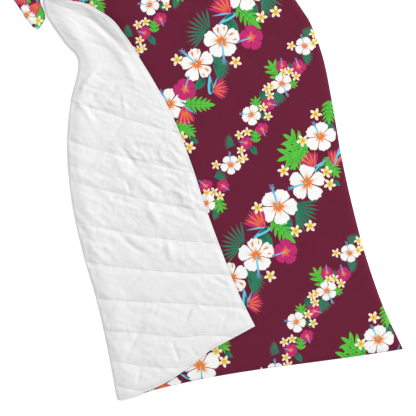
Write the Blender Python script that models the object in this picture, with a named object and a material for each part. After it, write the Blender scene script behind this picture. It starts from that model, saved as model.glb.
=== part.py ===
"""A printed quilt, lying face up with its lower left corner folded over.

Two panels make the quilt: the printed front and the white quilted back. They are bagged out,
so their hems are plain knife edges, and diamond quilting holds them together. Each panel's
solid takes its half of the wadding. The quilt is swept up its length, section by section. A
section starts at the right hem, runs left along the surface, turns up and over at the fold and
ends at the left hem, on top. Lengths are in millimetres and +Y runs up the quilt.
"""
import math

import bpy
import numpy as np

MM = 0.001

# Flat size of the quilt and the thickness of one panel with its half of the wadding.
QUILT_WIDTH = 1520.0
CROWN = 3.2
SEAM = 1.3
HEM = 1.0
HEM_TAPER = 14.0
PANEL_GAP = 0.3

# A front-side normal whose z is above this belongs to the lying part.
LEVEL = 0.99

# Diamond quilting: two families of stitch lines, each at this angle from the lower hem.
STITCH_PITCH = 121.0
STITCH_ANGLE = math.radians(30.0)

# The fold: radius at the joint of the two panels, and the air left between its layers.
FOLD_RADIUS = 8.0
LAYER_AIR = 2.2
SAG_LENGTH = 110.0

# Faces along a section (lying part, turn, folded part), and the longest steps between
# sections, in distance up the quilt and in degrees of the fold's turn.
LYING_STEPS = 18
TURN_STEPS = 6
FLAP_STEPS = 9
ROW_STEP = 44.0
ROW_TURN = 45.0

# The narrowed head of the quilt stands in a few soft gathers.
GATHER_FROM = 1450.0
GATHER_TO = 1780.0
GATHER_HEIGHT = 16.0
GATHERS = 5

# The lower hem doesn't lie straight. Its lying part bows up the quilt, most near the fold, and
# its folded part bows down next to the fold's corner. Both bows fade out up the quilt.
LYING_BOW = 20.0
LYING_BOW_SKEW = 1.6
FOLDED_BOW = 27.0
FOLDED_BOW_SHARE = 0.66
BOW_REACH = 220.0

# One row for each section: distance up the quilt, the right hem, the fold, the left hem and
# the angle in degrees through which the fold turns the cloth (0 where it lies open).
COLUMNS = ("along", "right_x", "right_y", "fold_x", "fold_y", "left_x", "left_y", "turn")
SECTIONS = (
    (0, 736, -731, -236, -904, 233, -653, 180),
    (160, 669, -586, -265, -747, 171, -528, 180),
    (340, 610, -416, -304, -571, 114, -383, 180),
    (510, 566, -252, -351, -408, 63, -244, 180),
    (680, 529, -86, -388, -242, 17, -103, 180),
    (884, 494, 115, -406, -39, -48, 62, 180),
    (1037, 463, 264, -393, 112, -111, 179, 180),
    (1170, 416, 388, -368, 243, -174, 282, 180),
    (1200, 399, 414, -378, 270, -189, 307, 180),
    (1238, 378, 445, -404, 296, -211, 337, 180),
    (1306, 340, 501, -445, 351, -262, 396, 180),
    (1350, 315, 537, -470, 390, -335, 439, 180),
    (1395, 289, 575, -485, 430, -385, 450, 180),
    (1430, 270, 605, -489, 465, -427, 457, 180),
    (1470, 249, 639, -490, 500, -462, 500, 180),
    (1490, 238, 656, -493, 522, -485, 522, 90),
    (1510, 228, 673, -503, 548, -506, 541, 0),
    (1525, 220, 686, -520, 556, -512, 532, 0),
    (1540, 212, 699, -540, 562, -505, 490, 0),
    (1560, 202, 716, -552, 566, -496, 445, 0),
    (1580, 192, 733, -562, 570, -480, 398, 0),
    (1600, 182, 750, -570, 573, -498, 361, 0),
    (1612, 176, 760, -575, 575, -508, 354, 0),
    (1632, 165, 777, -585, 580, -534, 377, 0),
    (1680, 141, 818, -600, 590, -572, 433, 0),
    (1730, 116, 860, -620, 602, -612, 490, 0),
    (1780, 91, 902, -640, 615, -655, 540, 0),
)

# Soft creases of the folded part: from_x, from_y, to_x, to_y, half width and height. Each fades
# out over this share of its run, at both ends.
CREASE_FADE = 0.35
CREASES = (
    (-430, 400, -262, 250, 26, 9),
    (-300, 330, -190, 120, 24, 8),
    (-370, 200, -250, 262, 22, 8),
    (-385, 60, -215, 100, 30, 5),
    (-260, 20, -130, -110, 26, 6),
    (-330, -130, -190, -60, 24, 5),
    (-150, -180, 0, -300, 30, 6),
    (-230, -330, -110, -250, 26, 5),
    (-190, -560, -60, -480, 28, 5),
    (-170, -700, 20, -640, 28, 4),
)


def column(name):
    """One column of the table of sections."""
    return np.array([row[COLUMNS.index(name)] for row in SECTIONS], float)


def smoothstep(value):
    """0 to 1 with level ends."""
    value = np.clip(value, 0.0, 1.0)
    return value * value * (3.0 - 2.0 * value)


def row_stations():
    """Distances up the quilt: every section of the table, and even steps between them."""
    along = column("along")
    turn = column("turn")
    stations = [along[0]]
    for span in range(len(along) - 1):
        length = along[span + 1] - along[span]
        turned = abs(turn[span + 1] - turn[span])
        steps = math.ceil(max(length / ROW_STEP, turned / ROW_TURN))
        stations.extend(along[span] + length * step / steps for step in range(1, steps + 1))
    return np.array(stations)


def eased(name, stations):
    """A column read along a curve through its values, with limited slopes at each of them."""
    along = column("along")
    values = column(name)
    slopes = np.diff(values) / np.diff(along)
    tangents = np.concatenate(([slopes[0]], (slopes[:-1] + slopes[1:]) / 2.0, [slopes[-1]]))
    span = np.clip(np.searchsorted(along, stations, side="right") - 1, 0, len(along) - 2)
    width = along[span + 1] - along[span]
    part = (stations - along[span]) / width
    square = part * part
    cube = square * part
    start = (2 * cube - 3 * square + 1) * values[span]
    start_slope = (cube - 2 * square + part) * width * tangents[span]
    end = (3 * square - 2 * cube) * values[span + 1]
    end_slope = (cube - square) * width * tangents[span + 1]
    return start + start_slope + end + end_slope


def eased_points(name, stations):
    """Plan points of the right hem, the fold or the left hem at the stations."""
    return np.stack([eased(name + "_x", stations), eased(name + "_y", stations)], axis=1)


def quilting(across, along):
    """Loft from 0 on a stitch line to 1 at the middle of a diamond."""
    first = (along * math.cos(STITCH_ANGLE) + across * math.sin(STITCH_ANGLE)) / STITCH_PITCH
    second = (along * math.cos(STITCH_ANGLE) - across * math.sin(STITCH_ANGLE)) / STITCH_PITCH
    return math.sqrt(abs(math.sin(math.pi * first) * math.sin(math.pi * second)))


def crease_height(x, y):
    """Height of the soft creases of the folded part at a plan point."""
    total = 0.0
    for from_x, from_y, to_x, to_y, half_width, height in CREASES:
        run = math.hypot(to_x - from_x, to_y - from_y)
        ahead = ((x - from_x) * (to_x - from_x) + (y - from_y) * (to_y - from_y)) / run
        aside = ((x - from_x) * (to_y - from_y) - (y - from_y) * (to_x - from_x)) / run
        fade_run = CREASE_FADE * run
        fade = smoothstep(ahead / fade_run) * smoothstep((run - ahead) / fade_run)
        total += height * fade * math.exp(-(aside / half_width) ** 2)
    return total


def gather_height(lying_part, along):
    """Height of the gathers across the head of the quilt."""
    rise = smoothstep((along - GATHER_FROM) / (GATHER_TO - GATHER_FROM))
    wave = 0.5 - 0.5 * math.cos(2.0 * math.pi * GATHERS * lying_part)
    return GATHER_HEIGHT * rise * wave


def lying_bow(part, along):
    """How far the lower hem's bow moves the lying part up the quilt."""
    bow = LYING_BOW * math.sin(math.pi * part ** LYING_BOW_SKEW)
    return bow * smoothstep(1.0 - along / BOW_REACH)


def folded_bow(part, along):
    """How far the lower hem's bow moves the folded part down the quilt."""
    bow = FOLDED_BOW * math.sin(math.pi * min(part / FOLDED_BOW_SHARE, 1.0))
    return bow * smoothstep(1.0 - along / BOW_REACH)


def section_points(along, right, fold, left, tangent, turn):
    """Joint of the panels along one section: points, their front-side normals, cloth widths."""
    out = np.array([-tangent[1], tangent[0]])
    start = fold - out * (FOLD_RADIUS + CROWN) * math.sin(math.radians(min(turn, 90.0)))
    floor = CROWN + PANEL_GAP / 2.0
    flap_top = floor + 2.0 * CROWN + PANEL_GAP + LAYER_AIR
    angle_end = math.radians(turn)
    turn_length = FOLD_RADIUS * angle_end
    tail_length = np.linalg.norm(left - (start if turn in (0.0, 180.0) else fold))
    lying_width = QUILT_WIDTH - tail_length - turn_length
    points, normals, widths = [], [], []
    for step in range(LYING_STEPS + 1):
        part = step / LYING_STEPS
        place = right + (start - right) * part
        place[1] += lying_bow(part, along)
        points.append((place[0], place[1], floor + gather_height(part, along)))
        normals.append((0.0, 0.0, 1.0))
        widths.append(lying_width * part)
    if turn == 0.0:
        # The cloth lies open: it runs on from the knee to the left hem.
        for step in range(1, TURN_STEPS + FLAP_STEPS + 1):
            part = step / (TURN_STEPS + FLAP_STEPS)
            place = start + (left - start) * part
            points.append((place[0], place[1], floor + gather_height(1.0, along)))
            normals.append((0.0, 0.0, 1.0))
            widths.append(lying_width + tail_length * part)
        return np.array(points), np.array(normals), np.array(widths)
    for step in range(1, TURN_STEPS + 1):
        angle = angle_end * step / TURN_STEPS
        place = start + out * FOLD_RADIUS * math.sin(angle)
        points.append((place[0], place[1], floor + FOLD_RADIUS * (1.0 - math.cos(angle))))
        normals.append((-out[0] * math.sin(angle), -out[1] * math.sin(angle), math.cos(angle)))
        widths.append(lying_width + turn_length * step / TURN_STEPS)
    bend = np.array(points[-1])
    for step in range(1, FLAP_STEPS + 1):
        part = step / FLAP_STEPS
        if turn == 180.0:
            place = bend[:2] + (left - bend[:2]) * part
            place[1] -= folded_bow(part, along)
            sag = smoothstep(part * tail_length / SAG_LENGTH)
            height = bend[2] + (flap_top - bend[2]) * sag + crease_height(place[0], place[1])
        else:
            place = bend[:2] + out * math.cos(angle_end) * tail_length * part
            height = bend[2] + math.sin(angle_end) * tail_length * part
        points.append((place[0], place[1], height))
        normals.append(normals[LYING_STEPS + TURN_STEPS])
        widths.append(QUILT_WIDTH - tail_length * (1.0 - part))
    return np.array(points), np.array(normals), np.array(widths)


def joint_surface():
    """The surface where the panels meet, as grids of points, normals, widths and lengths."""
    stations = row_stations()
    right = eased_points("right", stations)
    fold = eased_points("fold", stations)
    left = eased_points("left", stations)
    turn = np.interp(stations, column("along"), column("turn"))
    tangents = np.gradient(fold, stations, axis=0)
    tangents /= np.linalg.norm(tangents, axis=1)[:, None]
    rows = [section_points(*parts) for parts in zip(stations, right, fold, left, tangents, turn)]
    points = np.array([row[0] for row in rows])
    normals = np.array([row[1] for row in rows])
    widths = np.array([row[2] for row in rows])
    return points, normals, widths, stations


def panel_thickness(widths, stations, pressed):
    """Thickness of one panel at each point of the grid. A pressed stretch has no quilting."""
    thickness = np.empty(widths.shape)
    for row, along in enumerate(stations):
        for col, across in enumerate(widths[row]):
            loft = quilting(across, along)
            if pressed:
                loft += (1.0 - loft) * smoothstep((LYING_STEPS + TURN_STEPS / 2 - col) / TURN_STEPS)
            from_hem = min(across, QUILT_WIDTH - across, along, stations[-1] - along)
            body = SEAM + (CROWN - SEAM) * loft
            thickness[row, col] = HEM + (body - HEM) * smoothstep(from_hem / HEM_TAPER)
    return thickness


def solid_between(name, upper, lower, colour, roughness):
    """A closed solid between two grids of points that share their rows and columns."""
    rows, cols = upper.shape[:2]
    count = rows * cols
    vertices = np.concatenate([upper.reshape(count, 3), lower.reshape(count, 3)]) * MM
    faces = []
    for row in range(rows - 1):
        for col in range(cols - 1):
            a, b = row * cols + col, row * cols + col + 1
            c, d = a + cols, b + cols
            faces.extend([(a, d, b), (a, c, d)])
            faces.extend([(a + count, b + count, d + count), (a + count, d + count, c + count)])
    rim = list(range(cols))
    rim += [row * cols + cols - 1 for row in range(1, rows)]
    rim += [(rows - 1) * cols + col for col in range(cols - 2, -1, -1)]
    rim += [row * cols for row in range(rows - 2, 0, -1)]
    for start, end in zip(rim, rim[1:] + rim[:1]):
        faces.extend([(start, end + count, start + count), (start, end, end + count)])
    mesh = bpy.data.meshes.new(name)
    mesh.from_pydata(vertices.tolist(), [], faces)
    mesh.update()
    mesh.shade_smooth()
    panel = bpy.data.objects.new(name, mesh)
    bpy.context.collection.objects.link(panel)
    mesh.materials.append(cloth_material(name, colour, roughness))
    return panel


def cloth_material(name, colour, roughness):
    """A plain cloth finish."""
    material = bpy.data.materials.new(name)
    material.use_nodes = True
    shader = material.node_tree.nodes["Principled BSDF"]
    shader.inputs["Base Color"].default_value = (*colour, 1.0)
    shader.inputs["Roughness"].default_value = roughness
    shader.inputs["Metallic"].default_value = 0.0
    return material


def centred(points, low, high):
    """The grid moved so that the quilt's box stands on the origin."""
    return points - np.array([(low[0] + high[0]) / 2.0, (low[1] + high[1]) / 2.0, low[2]])


def build():
    """Both panels, from one shared joint surface."""
    joint, normals, widths, stations = joint_surface()
    front_loft = panel_thickness(widths, stations, pressed=False)[..., None]
    back_loft = panel_thickness(widths, stations, pressed=True)[..., None]
    # The hems of the lying part drop to the surface with the thinner back panel.
    lying = normals[..., 2:3] > LEVEL
    joint[..., 2:3] -= np.where(lying, CROWN - back_loft, 0.0)
    half_gap = normals * PANEL_GAP / 2.0
    front_top = joint + half_gap + normals * front_loft
    back_under = joint - half_gap - normals * back_loft
    everything = np.concatenate([front_top.reshape(-1, 3), back_under.reshape(-1, 3)])
    low, high = everything.min(axis=0), everything.max(axis=0)
    solid_between("printed_front", centred(front_top, low, high), centred(joint + half_gap, low, high),
                  colour=(0.15, 0.015, 0.05), roughness=0.85)
    solid_between("quilted_back", centred(joint - half_gap, low, high), centred(back_under, low, high),
                  colour=(0.86, 0.86, 0.86), roughness=0.9)


for old in list(bpy.data.objects):
    bpy.data.objects.remove(old, do_unlink=True)
build()
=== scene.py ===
"""A printed quilt on a pale floor, face up, with its lower left corner folded over."""
import cmath
import functools
import math

import bmesh
import bpy
import numpy as np
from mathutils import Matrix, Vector, noise
from mathutils.bvhtree import BVHTree
from mathutils.geometry import delaunay_2d_cdt


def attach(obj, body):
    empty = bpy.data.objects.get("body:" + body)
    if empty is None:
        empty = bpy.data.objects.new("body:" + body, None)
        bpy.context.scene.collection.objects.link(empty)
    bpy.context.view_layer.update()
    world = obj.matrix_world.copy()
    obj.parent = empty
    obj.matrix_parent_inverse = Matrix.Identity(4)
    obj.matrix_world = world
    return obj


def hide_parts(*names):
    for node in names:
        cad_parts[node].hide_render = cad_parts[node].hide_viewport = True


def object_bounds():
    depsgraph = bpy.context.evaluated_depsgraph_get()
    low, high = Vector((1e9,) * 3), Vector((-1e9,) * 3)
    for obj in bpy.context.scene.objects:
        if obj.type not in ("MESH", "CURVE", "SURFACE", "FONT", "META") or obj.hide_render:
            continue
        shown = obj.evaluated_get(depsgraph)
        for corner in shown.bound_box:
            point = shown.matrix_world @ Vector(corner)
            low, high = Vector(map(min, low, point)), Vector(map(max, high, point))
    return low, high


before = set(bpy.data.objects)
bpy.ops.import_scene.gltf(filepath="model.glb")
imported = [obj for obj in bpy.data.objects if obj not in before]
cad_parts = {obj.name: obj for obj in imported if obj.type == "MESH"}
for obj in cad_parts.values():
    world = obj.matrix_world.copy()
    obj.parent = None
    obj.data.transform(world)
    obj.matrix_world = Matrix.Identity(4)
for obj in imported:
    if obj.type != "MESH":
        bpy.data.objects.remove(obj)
cad_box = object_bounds()

# Floor, lights and camera. A white studio floor that glows a little, a soft light beyond the
# quilt's upper right corner, a weak one opposite, and the camera straight above.
MM = 0.001
# The quilt's sizes are written on a plan in millimetres; this is where its zero lies.
PLAN_X = cad_box[1].x - 736 * MM
PLAN_Y = cad_box[1].y - 902 * MM
# The picture: millimetres to one of its 416 pixels, and the pixel at the plan's zero.
PX = 3.4
PX_ZERO = (186.5, 134.0)
PX_SIZE = 416
CAMERA_HEIGHT = 9.0
SENSOR = 36.0
FLOOR_REACH = 14.0
FLOOR_GLOW = 0.3
WORLD_STRENGTH = 0.68


def on_plan(px_x, px_y):
    """The plan point, as a complex number in millimetres, that a pixel shows."""
    return complex((px_x - PX_ZERO[0]) * PX, (PX_ZERO[1] - px_y) * PX)


def fill_inputs(node, values):
    """Sets a node's inputs by name, and gives the node back."""
    for socket, value in values.items():
        node.inputs[socket].default_value = value
    return node


def plain_material(thing, name, colour, values):
    """Gives an object a material of one Principled shader: its node tree and the shader."""
    material = bpy.data.materials.new(name)
    material.use_nodes = True
    thing.data.materials.append(material)
    tree = material.node_tree
    return tree, fill_inputs(tree.nodes["Principled BSDF"], {"Base Color": (*colour, 1.0), **values})


def new_object(name, mesh):
    """An object at the origin made from a bmesh, which is freed."""
    data = bpy.data.meshes.new(name)
    mesh.to_mesh(data)
    mesh.free()
    thing = bpy.data.objects.new(name, data)
    bpy.context.collection.objects.link(thing)
    return thing


floor_mesh = bmesh.new()
bmesh.ops.create_grid(floor_mesh, x_segments=1, y_segments=1, size=FLOOR_REACH)
floor = new_object("floor", floor_mesh)
floor_tree, floor_shader = plain_material(
    floor, "floor", (0.97, 0.97, 0.97),
    {"Emission Color": (1.0, 1.0, 1.0, 1.0), "Emission Strength": FLOOR_GLOW})
floor_mottle = fill_inputs(floor_tree.nodes.new("ShaderNodeTexNoise"), {"Scale": 1.3})
floor_tone = fill_inputs(floor_tree.nodes.new("ShaderNodeMapRange"), {"To Min": 0.88, "To Max": 0.92})
floor_tree.links.new(floor_mottle.outputs["Fac"], floor_tone.inputs["Value"])
floor_tree.links.new(floor_tone.outputs["Result"], floor_shader.inputs["Roughness"])

middle = on_plan(PX_SIZE / 2, PX_SIZE / 2)
camera_data = bpy.data.cameras.new("camera")
camera_data.sensor_width = SENSOR
camera_data.lens = SENSOR * CAMERA_HEIGHT / (PX_SIZE * PX * MM)
camera = bpy.data.objects.new("camera", camera_data)
camera.location = (PLAN_X + middle.real * MM, PLAN_Y + middle.imag * MM, CAMERA_HEIGHT)
bpy.context.collection.objects.link(camera)
bpy.context.scene.camera = camera


def soft_light(name, place, size, power):
    """A square area light that faces the quilt's middle."""
    data = bpy.data.lights.new(name, "AREA")
    data.size = size
    data.energy = power
    light = bpy.data.objects.new(name, data)
    light.location = place
    light.rotation_euler = (-Vector(place)).to_track_quat("-Z", "Y").to_euler()
    bpy.context.collection.objects.link(light)


soft_light("key_light", place=(7.6, 5.4, 6.2), size=2.2, power=1150)
soft_light("fill_light", place=(-3.4, -1.2, 3.6), size=3.5, power=24)
world = bpy.data.worlds.new("studio")
world.use_nodes = True
fill_inputs(world.node_tree.nodes["Background"], {"Color": (1.0, 1.0, 1.0, 1.0), "Strength": WORLD_STRENGTH})
bpy.context.scene.world = world
bpy.context.scene.view_settings.view_transform = "Standard"

# The quilted back: white brushed polyester, one panel of the quilt. Its long left stretch is
# folded over on top of the print, and diamond quilting holds it to the front, with the wadding
# puffed up between the stitch lines. Its hem is a plain bagged edge, sewn from inside.
QUILT_WIDTH = 1520.0
QUILT_LENGTH = 1780.0
# A panel's thickness at the crown of its wadding and at the hem, and half the gap to the other.
CROWN = 3.2
HEM = 1.0
HEM_TAPER = 14.0
HALF_GAP = 0.15
CLOTH_THICKNESS = 0.8 * MM
STITCH_PITCH = 121.0
STITCH_ANGLE = math.radians(30.0)
FOLD_RADIUS = 8.0
LAYER_AIR = 2.2
SAG_LENGTH = 110.0
GATHER_FROM = 1450.0
GATHER_HEIGHT = 16.0
GATHERS = 5
LYING_HEIGHT = CROWN + HALF_GAP
FLAP_HEIGHT = LYING_HEIGHT + 2.0 * CROWN + 2.0 * HALF_GAP + LAYER_AIR

# The lower hem bows up the quilt where it lies, and down beside the fold where it is folded over.
LYING_BOW = 20.0
LYING_BOW_SKEW = 1.6
FOLDED_BOW = 27.0
FOLDED_BOW_SHARE = 0.66
BOW_REACH = 220.0

# Sections of the quilt up its length: distance up the cloth, then plan points of the right
# hem, the fold and the left hem, and the angle through which the fold turns the cloth.
SECTIONS = np.array([
    (0, 736, -731, -236, -904, 233, -653, 180),
    (160, 669, -586, -265, -747, 171, -528, 180),
    (340, 610, -416, -304, -571, 114, -383, 180),
    (510, 566, -252, -351, -408, 63, -244, 180),
    (680, 529, -86, -388, -242, 17, -103, 180),
    (884, 494, 115, -406, -39, -48, 62, 180),
    (1037, 463, 264, -393, 112, -111, 179, 180),
    (1170, 416, 388, -368, 243, -174, 282, 180),
    (1200, 399, 414, -378, 270, -189, 307, 180),
    (1238, 378, 445, -404, 296, -211, 337, 180),
    (1306, 340, 501, -445, 351, -262, 396, 180),
    (1350, 315, 537, -470, 390, -335, 439, 180),
    (1395, 289, 575, -485, 430, -385, 450, 180),
    (1430, 270, 605, -489, 465, -427, 457, 180),
    (1470, 249, 639, -490, 500, -462, 500, 180),
    (1490, 238, 656, -493, 522, -485, 522, 90),
    (1510, 228, 673, -503, 548, -506, 541, 0),
    (1525, 220, 686, -520, 556, -512, 532, 0),
    (1540, 212, 699, -540, 562, -505, 490, 0),
    (1560, 202, 716, -552, 566, -496, 445, 0),
    (1580, 192, 733, -562, 570, -480, 398, 0),
    (1600, 182, 750, -570, 573, -498, 361, 0),
    (1612, 176, 760, -575, 575, -508, 354, 0),
    (1632, 165, 777, -585, 580, -534, 377, 0),
    (1680, 141, 818, -600, 590, -572, 433, 0),
    (1730, 116, 860, -620, 602, -612, 490, 0),
    (1780, 91, 902, -640, 615, -655, 540, 0),
], float)
TURN_COLUMN = 7

# The grid: rows up the cloth, and steps across its lying part, its turn and its folded part.
# Close to the hems the rows and steps stand closer, at these distances from the edge.
ROW_STEP = 5.0
LYING_STEPS = 12
TURN_STEPS = 8
FLAP_STEPS = 104
EDGE_STEPS = (9.0, 6.0, 3.5, 1.5)
FIRST_ROW = 12.0
# Rows whose folded part is wider than this have the close steps, a share of its width apart
# from the even ones.
CLOSE_WIDTH = 120.0
CLOSE_GAP = 0.012
# Angles, in degrees, at which the sections count as lying open and as folded right over.
OPEN_TURN = 0.1
FOLDED_TURN = 179.9
even_count = round(QUILT_LENGTH / ROW_STEP) - len(EDGE_STEPS)
even_rows = np.linspace(FIRST_ROW, QUILT_LENGTH - FIRST_ROW, even_count)
edge_rows = np.array((0.0, *EDGE_STEPS[::-1]))
stations = np.concatenate([edge_rows, even_rows, QUILT_LENGTH - edge_rows[::-1]])
turns = np.interp(stations, SECTIONS[:, 0], SECTIONS[:, TURN_COLUMN])


def smoothstep(value):
    """0 to 1 with level ends."""
    value = np.clip(value, 0.0, 1.0)
    return value * value * (3.0 - 2.0 * value)


def eased(column):
    """A column of the sections, read at every row along a curve through its values."""
    along, values = SECTIONS[:, 0], SECTIONS[:, column]
    slopes = np.diff(values) / np.diff(along)
    tangents = np.concatenate(([slopes[0]], (slopes[:-1] + slopes[1:]) / 2.0, [slopes[-1]]))
    span = np.clip(np.searchsorted(along, stations, side="right") - 1, 0, len(along) - 2)
    width = along[span + 1] - along[span]
    part = (stations - along[span]) / width
    square, cube = part ** 2, part ** 3
    start = (2 * cube - 3 * square + 1) * values[span]
    start_slope = (cube - 2 * square + part) * width * tangents[span]
    end = (3 * square - 2 * cube) * values[span + 1]
    end_slope = (cube - square) * width * tangents[span + 1]
    return start + start_slope + end + end_slope


def cloth_grid(flap_steps):
    """Where the panels meet, as a grid: points, front-side normals and distances across."""
    right, fold, left = (np.stack([eased(column), eased(column + 1)], axis=1) for column in (1, 3, 5))
    tangent = np.gradient(fold, stations, axis=0)
    tangent /= np.linalg.norm(tangent, axis=1)[:, None]
    out = np.stack([-tangent[:, 1], tangent[:, 0]], axis=1)
    reach = (FOLD_RADIUS + CROWN) * np.sin(np.radians(np.minimum(turns, 90.0)))
    start = fold - out * reach[:, None]
    angle_end = np.radians(turns)
    folded, lies_open = turns > FOLDED_TURN, turns < OPEN_TURN
    tail = np.linalg.norm(left - np.where((folded | lies_open)[:, None], start, fold), axis=1)
    lying_width = QUILT_WIDTH - tail - FOLD_RADIUS * angle_end
    columns, normals, widths = [], [], []
    rise = smoothstep((stations - GATHER_FROM) / (QUILT_LENGTH - GATHER_FROM))
    bow_fade = smoothstep(1.0 - stations / BOW_REACH)
    for part in np.linspace(0.0, 1.0, LYING_STEPS + 1):
        place = right + (start - right) * part
        place[:, 1] += LYING_BOW * math.sin(math.pi * part ** LYING_BOW_SKEW) * bow_fade
        gather = GATHER_HEIGHT * rise * (0.5 - 0.5 * math.cos(2.0 * math.pi * GATHERS * part))
        columns.append(np.column_stack([place, LYING_HEIGHT + gather]))
        normals.append(np.tile((0.0, 0.0, 1.0), (len(stations), 1)))
        widths.append(lying_width * part)
    for part in np.linspace(0.0, 1.0, TURN_STEPS + 1)[1:]:
        angle = angle_end * part
        place = start + out * (FOLD_RADIUS * np.sin(angle))[:, None]
        height = LYING_HEIGHT + FOLD_RADIUS * (1.0 - np.cos(angle))
        columns.append(np.column_stack([place, height]))
        normals.append(np.column_stack([-out * np.sin(angle)[:, None], np.cos(angle)]))
        widths.append(lying_width + FOLD_RADIUS * angle_end * part)
    bend = columns[-1]
    even = np.linspace(0.0, 1.0, flap_steps + 1)[1:, None] * np.ones(len(stations))
    edge_part = 1.0 - np.array(EDGE_STEPS)[:, None] / np.maximum(tail, 1.0)
    inner = even[:-1 - len(EDGE_STEPS)] / even[-2 - len(EDGE_STEPS)] * (edge_part[0] - CLOSE_GAP)
    close = np.concatenate([inner, edge_part, even[-1:]])
    for part in np.where(tail > CLOSE_WIDTH, close, even):
        share = part[:, None]
        folded_over = bend[:, :2] + (left - bend[:, :2]) * share
        bow = FOLDED_BOW * np.sin(math.pi * np.minimum(part / FOLDED_BOW_SHARE, 1.0))
        folded_over[:, 1] -= bow * bow_fade
        sag = smoothstep(part * tail / SAG_LENGTH)
        folded_height = bend[:, 2] + (FLAP_HEIGHT - bend[:, 2]) * sag
        standing = bend[:, :2] + out * (np.cos(angle_end) * tail * part)[:, None]
        standing_height = bend[:, 2] + np.sin(angle_end) * tail * part
        place = np.where((folded | lies_open)[:, None], folded_over, standing)
        height = np.where(folded, folded_height, np.where(lies_open, bend[:, 2], standing_height))
        columns.append(np.column_stack([place, height]))
        normals.append(normals[-1])
        widths.append(QUILT_WIDTH - tail * (1.0 - part))
    return np.stack(columns, axis=1), np.stack(normals, axis=1), np.stack(widths, axis=1)


# How far the cloth's lie draws the stitch lines along it: at the fold and at the free hem, for
# distances up the cloth. Then the second family's offset, as a share of the pitch.
DRAWN_AT = (0.0, 97.0, 218.0, 347.0, 475.0, 611.0, 735.0, 862.0, 985.0, 1110.0, 1300.0)
DRAWN_AT_FOLD = (-100.0, -44.0, -14.0, 10.0, 14.0, 10.0, -5.0, -26.0, -63.0, -85.0, -70.0)
DRAWN_AT_HEM = (22.0, 22.0, 16.0, 25.0, 33.0, 20.0, 3.0, -20.0, -50.0, -85.0, -70.0)
SECOND_OFFSET = 0.35


def drawn(across, along):
    """The stitching's own distance up the cloth."""
    fold_across = QUILT_WIDTH - np.interp(along, stations, folded_widths)
    share = np.clip((across - fold_across) / np.maximum(QUILT_WIDTH - fold_across, 1.0), 0.0, 1.0)
    at_fold = np.interp(along, DRAWN_AT, DRAWN_AT_FOLD)
    return along + at_fold + (np.interp(along, DRAWN_AT, DRAWN_AT_HEM) - at_fold) * share


def from_stitches(across, sewn):
    """Distances from the nearest stitch line of each family, in millimetres."""
    up, over = sewn * math.cos(STITCH_ANGLE), across * math.sin(STITCH_ANGLE)
    first = (up + over) / STITCH_PITCH
    second = (up - over) / STITCH_PITCH + SECOND_OFFSET
    return [np.abs(line - np.round(line)) * STITCH_PITCH for line in (first, second)]


# How far the second family's lines draw the wadding in, as a share of the first family's.
SECOND_REACH = 0.6


def puff(across, sewn, reach, second_share):
    """Loft of the wadding, from 0 on a stitch line to 1 far from any."""
    first, second = from_stitches(across, sewn)
    return (1.0 - np.exp(-first / reach)) * (1.0 - second_share * np.exp(-second / (SECOND_REACH * reach)))


def ripple(across, along, length, width, lean, seed):
    """Smooth noise from -1 to 1 over the cloth, drawn out along a leaning direction."""
    turned = (across + 1j * along) * cmath.exp(-1j * lean)
    flat = zip(turned.real.ravel() / length, turned.imag.ravel() / width)
    return np.array([noise.noise((u, v, seed)) for u, v in flat]).reshape(across.shape)


def patches(least, most, contrast, length, width, lean, seed):
    """From least to most over the back's cloth, in soft patches."""
    noise_now = ripple(across, along, length, width, lean, seed)
    return least + (most - least) * smoothstep(0.5 + contrast * noise_now)


def ridge(distance, middle, half_width):
    """1 at a distance, and fading on both sides of it."""
    return np.exp(-((distance - middle) / half_width) ** 2)


# A crease's height at its ends, and the share of its length over which it rises.
CREASE_END = 0.15
CREASE_RISE = 0.4
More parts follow.
